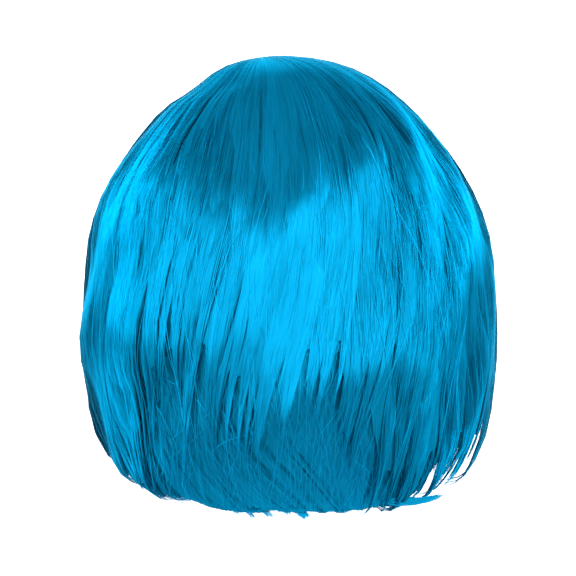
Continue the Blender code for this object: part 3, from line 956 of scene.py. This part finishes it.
def seam(name, turns, drop, outset, pitch, mat, slant=0.0, inward=False, body=ROOT):
    """A row of stitches on the cap along drop(turn); slant zigzags them by that much of drop."""
    start, end = (math.radians(value) for value in turns)
    turn = np.linspace(start, end, 400)
    along = lengths_of(cap_points(turn, drop(turn), outset))
    count = int(along[-1] / pitch)
    at = np.interp((np.arange(count) + 0.15) * pitch, along, turn)
    to = np.interp((np.arange(count) + 0.85) * pitch, along, turn)
    way = np.where(np.arange(count) % 2 == 0, 1.0, -1.0) * slant
    first = cap_points(at, drop(at) - way, outset)
    last = cap_points(to, drop(to) + way, outset)
    sign = -1.0 if inward else 1.0
    lift = (cap_points(at, drop(at), outset + 0.001) - cap_points(at, drop(at), outset)) * 0.25 * sign
    obj = stitches(name, first, last, lift, STITCH_RADIUS, mat)
    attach(obj, body)


# Cap pieces


def diamonds(columns, rows, wrap):
    """Corners (column, row) of each diamond of a lattice of this many columns and rows."""
    centre = np.stack(np.meshgrid(np.arange(columns), np.arange(rows), indexing="ij"), axis=-1).reshape(-1, 2)
    centre = centre[(centre.sum(axis=1) % 2) == 1]
    around = np.array([(-1, 0), (0, -1), (1, 0), (0, 1)])
    corners = centre[:, None] + around[None]
    if wrap:
        corners[..., 0] %= columns
    return centre, corners


def lattice(centre, corners, keep, place, bake):
    """The kept diamonds' points, faces and uv, with shared corners merged."""
    corners = corners[keep]
    keys, index = np.unique(corners.reshape(-1, 2), axis=0, return_inverse=True)
    faces = index.reshape(-1, 4)
    return place(keys.astype(float)), faces, bake(keys.astype(float))[faces]


def build_net():
    """The stretch net: a crown panel and a side panel of diamond mesh, with real threads."""
    half = MESH_CELL / math.sqrt(2)
    seam_angle = float(lat_of(MESH_SEAM_DROP, CAP_DOME))
    reach = seam_angle * (CAP_HALF_WIDTH + CAP_HALF_DEPTH + CAP_DOME) / 3
    size = int(reach / half) + 1

    def crown_place(keys):
        spot = (keys - size) / (reach / half)
        far = np.minimum(np.hypot(spot[:, 0], spot[:, 1]), 1.0)
        turn = np.arctan2(spot[:, 1], spot[:, 0])
        return cap_points(turn, drop_of(far * seam_angle, CAP_DOME), NET_THICKNESS / 2)

    centre, corners = diamonds(2 * size + 1, 2 * size + 1, False)
    inside = np.hypot(*((centre - size) / (reach / half)).T) < 1.0
    crown = lattice(centre, corners, inside, crown_place, lambda keys: keys / (2 * size + 2) * 0.5)

    columns = 2 * int(math.pi * (CAP_HALF_WIDTH + CAP_HALF_DEPTH) / half / 2)
    rows = int((CAP_EDGE_NAPE - MESH_SEAM_DROP) / half) + 1

    def side_place(keys):
        turn = keys[:, 0] / columns * 2 * math.pi
        drop = np.clip(MESH_SEAM_DROP + keys[:, 1] * half, MESH_SEAM_DROP, cap_edge(turn) - 0.0006)
        return cap_points(turn, drop, NET_THICKNESS / 2)

    centre, corners = diamonds(columns, rows, True)
    turn = centre[:, 0] / columns * 2 * math.pi
    inside = MESH_SEAM_DROP + centre[:, 1] * half < cap_edge(turn) - 0.0006
    skirt = lattice(centre, corners, inside, side_place,
                    lambda keys: np.stack([keys[:, 0] / columns, 0.5 + keys[:, 1] / rows * 0.5], axis=-1))

    points = np.concatenate([crown[0], skirt[0]])
    faces = np.concatenate([crown[1], skirt[1] + len(crown[0])])
    uv = np.concatenate([crown[2], skirt[2]])
    obj = mesh_object("net_threads", points, faces, uv, NET, cloth=uv * 0.3)
    wire = obj.modifiers.new("threads", "WIREFRAME")
    wire.thickness = MESH_THREAD
    wire.use_even_offset = False
    piece(obj, "cap_net", "net")


def build_crown_patch():
    """The round lining patch: a thin disc with a rolled rim, stitched round twice."""
    obj = cap_tape("crown_patch_cloth", (0, 360), level(PATCH_DROP), level(0.00002), PATCH_OUTSET, 0.0007,
                   72, LINING, closed=True, section=64)
    piece(obj, "crown_patch", "lining")
    for index, up in enumerate((0.0010, 0.0026)):
        seam(f"crown_patch_stitches_{index + 1}", (0, 358), level(PATCH_DROP - up), PATCH_OUTSET,
             0.0024, THREAD)


def build_bands():
    """The lined front band and the elastic nape band, inside the cap's edge, each sewn along both sides."""
    bands = {
        "front_band": ((195, 345), FRONT_BAND_HEIGHT, FRONT_BAND_FLAT, LINING, "lining"),
        "nape_band": ((24, 156), NAPE_BAND_HEIGHT, NAPE_BAND_FLAT, ELASTIC, "elastic"),
    }
    for name, ((start, end), height, flat, mat, slot) in bands.items():
        obj = cap_tape(name + "_cloth", (start, end), above_edge(0.001), above_edge(height), -BAND_INSET,
                       BAND_THICKNESS, 90, mat)
        piece(obj, name, slot)
    for name, ((start, end), height, *_) in bands.items():
        for index, up in enumerate((0.0026, height - 0.0016)):
            seam(f"{name}_stitches_{index + 1}", (start + 1, end - 1), above_edge(up),
                 -BAND_INSET - BAND_THICKNESS, 0.0026, THREAD, slant=0.0007 * index, inward=True)


def build_ribbons():
    """Elastic ribbons from brow to nape over the net, each held by a zigzag down its middle."""
    front, back = -CAP_HALF_DEPTH * 0.80, CAP_HALF_DEPTH * 0.93

    def on_cap(x, y, outset):
        around = np.hypot(x / CAP_HALF_WIDTH, y / CAP_HALF_DEPTH)
        drop = CAP_DOME * (1.0 - np.sqrt(1.0 - np.minimum(around, 0.995) ** 2))
        return cap_points(np.arctan2(y / CAP_HALF_DEPTH, x / CAP_HALF_WIDTH), drop, outset)

    for name, shift in (("centre", 0.0), ("left", CAP_HALF_WIDTH * 0.42), ("right", -CAP_HALF_WIDTH * 0.42)):
        def place(u, a, h, shift=shift):
            y = front + (back - front) * u + 0 * a
            return on_cap(shift + a * RIBBON_WIDTH / 2 + 0 * u, y, RIBBON_OUTSET - 0.0003 + 0.0003 * h)

        obj = tape(f"ribbon_{name}_elastic", place, 90, ELASTIC, width=RIBBON_WIDTH)
        piece(obj, f"ribbon_{name}", "elastic")
        steps = np.linspace(0.01, 0.99, 88)
        y = front + (back - front) * steps
        x = shift + np.where(np.arange(88) % 2 == 0, 0.0016, -0.0016)
        line = on_cap(x, y, RIBBON_OUTSET)
        lift = (on_cap(x, y, RIBBON_OUTSET + 0.001) - line)[:-1] * 0.25
        sewn = stitches(f"ribbon_{name}_stitches", line[:-1], line[1:], lift, 0.00020, THREAD)
        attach(sewn, ROOT)


def back_weft_turns(drop):
    reach = drop + 2.0 * WEFT_HEIGHT
    if reach <= CAP_EDGE_EAR:
        return (-14.0, 194.0)
    lean = math.sqrt((reach - CAP_EDGE_EAR) / (CAP_EDGE_NAPE - CAP_EDGE_EAR))
    start = math.degrees(math.asin(min(lean, 0.98)))
    return (start, 180.0 - start)


def weft(name, drop, turns, rng, closed=False):
    """A weft: its sewn header, the triple-stitch zigzag over it and the first of the hair it carries."""
    obj = cap_tape(name + "_header", turns, level(drop + WEFT_HEIGHT), level(drop),
                   WEFT_OUTSET + WEFT_THICKNESS, WEFT_THICKNESS, 120, WEFT, closed)
    piece(obj, name, "weft")
    low, high = turns
    seam(name + "_stitches", (low + 0.4, high - 0.4), level(drop + WEFT_HEIGHT * 0.4),
         WEFT_OUTSET + WEFT_THICKNESS, 0.0020, BLUE_THREAD, slant=0.0009)
    count = int(700 * (high - low) / 360)
    turn = np.radians(rng.uniform(low, high, count))[:, None] + rng.normal(0, 0.01, (count, 1))
    reach = rng.uniform(0.010, 0.022, (count, 1))
    s = np.linspace(0, 1, 6)[None, :]
    fall = drop + WEFT_HEIGHT * 0.6 + reach * s
    outset = WEFT_OUTSET + 0.0005 + 0.0009 * s + rng.uniform(0, 0.0008, (count, 1))
    path = cap_points(turn, fall, outset)
    face = unit(cap_points(turn, fall, 0.01) - cap_points(turn, fall, 0.0))
    half_width = 0.00016 * (1.0 - 0.7 * s) + 0 * turn
    column = rng.integers(0, COLUMNS, count)
    hair = strand_mesh(name + "_hair", path, face, half_width, column, 0 * fall, UNDER)
    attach(hair, ROOT)


def build_wefts(rng):
    weft("crown_weft_1", 0.012, (0, 360), rng, closed=True)
    weft("crown_weft_2", 0.026, (0, 360), rng, closed=True)
    for row in range(BACK_WEFTS):
        drop = BACK_WEFT_FIRST + row * BACK_WEFT_PITCH
        weft(f"back_weft_{row + 1}", drop, back_weft_turns(drop), rng)
    weft("fringe_weft_1", 0.036, (200, 340), rng)
    weft("fringe_weft_2", 0.047, (222, 318), rng)
    weft("temple_weft_left", 0.072, (-44, -17), rng)
    weft("temple_weft_right", 0.072, (197, 224), rng)


def ear_tab(side, middle):
    """The padded tab in front of the ear, its edge stitching and the woven strip over its top edge."""
    body = f"{side}_ear_tab"
    top = CAP_EDGE_EAR + TAB_GAP
    turns = (middle - TAB_SPREAD, middle + TAB_SPREAD)

    def low(turn):
        across = (np.degrees(turn) - middle) / TAB_SPREAD
        return top + TAB_LENGTH * (1.0 - 0.35 * across**2)

    tab = cap_tape(f"ear_tab_{side}_cloth", turns, low, level(top), TAB_THICKNESS - BAND_INSET,
                   TAB_THICKNESS, 40, TAB)
    piece(tab, f"ear_tab_{side}", "tab", body)
    edge = (turns[0] + 0.8, turns[1] - 0.8)
    seam(f"ear_tab_{side}_stitches", edge, lambda turn: low(turn) - 0.0022, TAB_THICKNESS - BAND_INSET,
         0.0024, THREAD, body=body)
    join = cap_tape(f"ear_tab_{side}_join", turns, level(top + 0.0030), level(top - 0.0055),
                    -BAND_INSET - BAND_THICKNESS - 0.0001, 0.0006, 30, ELASTIC)
    turn = math.radians(middle)
    start = cap_points(turn, top - 0.0025, -0.002)
    end = cap_points(turn, top + 0.0015, -0.002)
    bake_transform(join)


def nape_point(turn, lift):
    drop = cap_edge(turn) - NAPE_BAND_HEIGHT / 2
    return cap_points(turn, drop, -BAND_INSET - BAND_THICKNESS - lift)


def axes_of(origin, x_axis, inward):
    """A placing: its origin and its three axes, X along x_axis and Z nearest to inward."""
    y_axis = unit(np.cross(inward, x_axis))
    return origin, x_axis, y_axis, np.cross(x_axis, y_axis)


def in_placing(placing, x, y, z, mirror):
    origin, x_axis, y_axis, z_axis = placing
    x, y, z = np.broadcast_arrays(x, y, z)
    point = origin + x[..., None] * x_axis + y[..., None] * y_axis + z[..., None] * z_axis
    return point * np.array([-1.0, 1.0, 1.0]) if mirror else point


def build_adjuster(side):
    """The nape adjuster: the tape of loops, and the elastic strap that ends at the sliding hook."""
    mirror = side == "right"
    turn, step = math.radians(ADJUSTER_ANGLE), 0.08
    along = unit(nape_point(turn + step, 0.0) - nape_point(turn - step, 0.0))
    band = axes_of(nape_point(turn, 0.0), along, nape_point(turn, 0.01) - nape_point(turn, 0.0))

    def ladder_place(u, a, h):
        x = (u - 0.5) * LOOPS_LENGTH + 0 * a
        z = ADJUSTER_BOW + LOOPS_BASE * (0.5 + 0.5 * h)
        return in_placing(band, x, a * STRAP_WIDTH / 2, z + 0 * u, mirror)

    base = tape(f"adjuster_loops_{side}_tape", ladder_place, 60, ELASTIC, width=STRAP_WIDTH)
    piece(base, f"adjuster_loops_{side}", "elastic")
    for index in range(LOOP_COUNT):
        middle = (index - (LOOP_COUNT - 1) / 2) * LOOP_PITCH

        def loop_place(u, a, h, middle=middle):
            swing = math.pi * u
            radius = 0.0011 - 0.00022 + 0.00018 * h
            x = middle - np.cos(swing) * radius + 0 * a
            z = ADJUSTER_BOW + LOOPS_BASE + np.sin(swing) * (LOOP_HEIGHT - 0.0004 + 0.00018 * h)
            return in_placing(band, x, a * STRAP_WIDTH * 0.46, z, mirror)

        loop = tape(f"adjuster_loop_{side}_{index + 1}", loop_place, 14, ELASTIC, width=STRAP_WIDTH)
        piece(loop, f"adjuster_loops_{side}", "elastic")

    hook_lift = ADJUSTER_BOW + LOOPS_BASE + LOOP_HEIGHT + ADJUSTER_CLEARANCE + HOOK_THICKNESS / 2
    first_loop = -LOOP_PITCH * (LOOP_COUNT - 1) / 2
    tail = in_placing(band, first_loop - HOOK_LENGTH / 2 - ADJUSTER_CLEARANCE, 0.0, hook_lift, False)
    sew_turn = math.radians(STRAP_ANGLE)
    sewn = nape_point(sew_turn, STRAP_LIFT)
    reach = float(np.linalg.norm(tail - sewn))
    inward = nape_point(sew_turn, 0.01) - nape_point(sew_turn, 0.0)
    strap = axes_of((tail + sewn) / 2, unit(tail - sewn), inward)

    def strap_place(u, a, h):
        x = (u - 0.5) * reach + 0 * a
        return in_placing(strap, x, a * STRAP_WIDTH / 2, h * STRAP_THICKNESS / 2, mirror)

    obj = tape(f"adjuster_strap_{side}_elastic", strap_place, 60, ELASTIC, width=STRAP_WIDTH)
    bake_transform(obj)
    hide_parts(f"adjuster_strap_{side}")


def finish_cad_nodes():
    """The pieces whose CAD shape is the real one: metal stays and moulded hooks."""
    for side in ("left", "right"):
        for node, mat in ((f"ear_stay_{side}", STAY), (f"adjuster_hook_{side}", HOOK)):
            obj = bpy.data.objects[node]
            obj.data.materials.clear()
            obj.data.materials.append(mat)


def build_cap():
    rng = np.random.default_rng(11)
    build_net()
    build_crown_patch()
    build_bands()
    build_ribbons()
    build_wefts(rng)
    for side, middle in (("left", TAB_ANGLE), ("right", 180.0 - TAB_ANGLE)):
        ear_tab(side, middle)
        build_adjuster(side)
    finish_cad_nodes()


build_cap()


# Camera, floor and lights

LENS = 180.0
SENSOR = 36.0
FRAME_WIDTH = 0.325
CAMERA_AZIMUTH = 180.0
CAMERA_ELEVATION = 3.0
AIM = Vector((0.0, 0.0, -0.1131))
FLOOR_RADIUS = 0.55
FLOOR_Z = -0.50
STUDIO_STRENGTH = 2.06
LIGHT_DISTANCE = 2.4


def aimed(name, data, azimuth, elevation, distance):
    """Puts a camera or light this far from the wig, looking at its middle; azimuth 0 is the face side."""
    obj = bpy.data.objects.new(name, data)
    a, e = math.radians(azimuth), math.radians(elevation)
    level = distance * math.cos(e)
    obj.location = AIM + Vector((level * math.sin(a), -level * math.cos(a), distance * math.sin(e)))
    obj.rotation_euler = (AIM - obj.location).to_track_quat("-Z", "Y").to_euler()
    bpy.context.scene.collection.objects.link(obj)
    return obj


def build_camera():
    camera = bpy.data.cameras.new("camera")
    camera.lens = LENS
    distance = FRAME_WIDTH * LENS / SENSOR
    bpy.context.scene.camera = aimed("camera", camera, CAMERA_AZIMUTH, CAMERA_ELEVATION, distance)


def build_floor():
    """A pale floor well below the wig, with painted light: pale in the middle and fading to the studio's grey
    at its edge.
    """
    mesh = bpy.data.meshes.new("floor")
    work = bmesh.new()
    bmesh.ops.create_circle(work, cap_ends=True, segments=64, radius=FLOOR_RADIUS)
    work.to_mesh(mesh)
    work.free()
    floor = bpy.data.objects.new("floor", mesh)
    floor.location = (0, 0, FLOOR_Z)
    bpy.context.scene.collection.objects.link(floor)
    mat, tree, shader = new_material("floor")
    shader.inputs["Roughness"].default_value = 0.9
    place = new_node(tree, "TexCoord").outputs["Object"]
    size = new_node(tree, "Mapping", Vector=place, Scale=grey(1 / FLOOR_RADIUS))
    fade = new_node(tree, "TexGradient", Vector=size.outputs["Vector"])
    fade.gradient_type = "SPHERICAL"
    stops = [(0.0, grey(0.40)), (0.35, grey(0.50)), (0.75, grey(0.85))]
    coloured(tree, fade.outputs["Fac"], stops, shader.inputs["Base Color"])
    mesh.materials.append(mat)


def build_studio():
    """A bright band round the horizon, dimmer overhead and below, narrower at the face side's corners."""
    world = bpy.data.worlds.new("studio")
    bpy.context.scene.world = world
    world.use_nodes = True
    tree = world.node_tree
    back = tree.nodes["Background"]
    back.inputs["Strength"].default_value = STUDIO_STRENGTH
    where = new_node(tree, "TexCoord").outputs["Generated"]
    split = new_node(tree, "SeparateXYZ", Vector=where)
    x, y, z = (split.outputs[axis] for axis in "XYZ")
    add, subtract, multiply, divide, *_ = sums(tree)
    across = multiply(x, x)
    ahead = math_node(tree, "MAXIMUM", multiply(y, -1.0), 0.0)
    corner = multiply(across, ahead)
    narrow = add(multiply(corner, 3.4), add(multiply(across, 0.2), 1.0))
    middle = add(multiply(corner, 0.18), 0.19)
    height = multiply(subtract(z, middle), narrow)
    stops = [(-0.62, 0.26), (-0.43, 1.0), (0.41, 1.0), (0.57, 0.19), (1.20, 0.19)]
    band = ramp_node(tree, [(0.5 + 0.25 * at, grey(level)) for at, level in stops])
    plug(tree, add(multiply(height, 0.25), 0.5), band.inputs["Fac"])
    # Low on the face side it is bright again, further up at the wearer's left.
    low = divide(subtract(subtract(multiply(x, 0.06), z), 0.17), 0.10)
    facing = divide(ahead, 0.30)
    low, facing = (
        math_node(tree, "MAXIMUM", math_node(tree, "MINIMUM", value, 1.0), 0.0) for value in (low, facing))
    tone = math_node(tree, "MAXIMUM", band.outputs["Color"], multiply(low, facing))
    plug(tree, tone, back.inputs["Color"])


def softbox(name, azimuth, elevation, size, power):
    light = bpy.data.lights.new(name, "AREA")
    light.shape = "RECTANGLE"
    light.size, light.size_y = size
    light.energy = power
    aimed(name, light, azimuth, elevation, LIGHT_DISTANCE)


bpy.context.scene.view_settings.view_transform = "Standard"
build_camera()
build_floor()
build_studio()
softbox("key", 180, 36, (3.0, 0.9), 5)
softbox("left_rim", 55, 20, (1.8, 1.2), 12)
softbox("right_rim", 305, 20, (1.8, 1.2), 12)
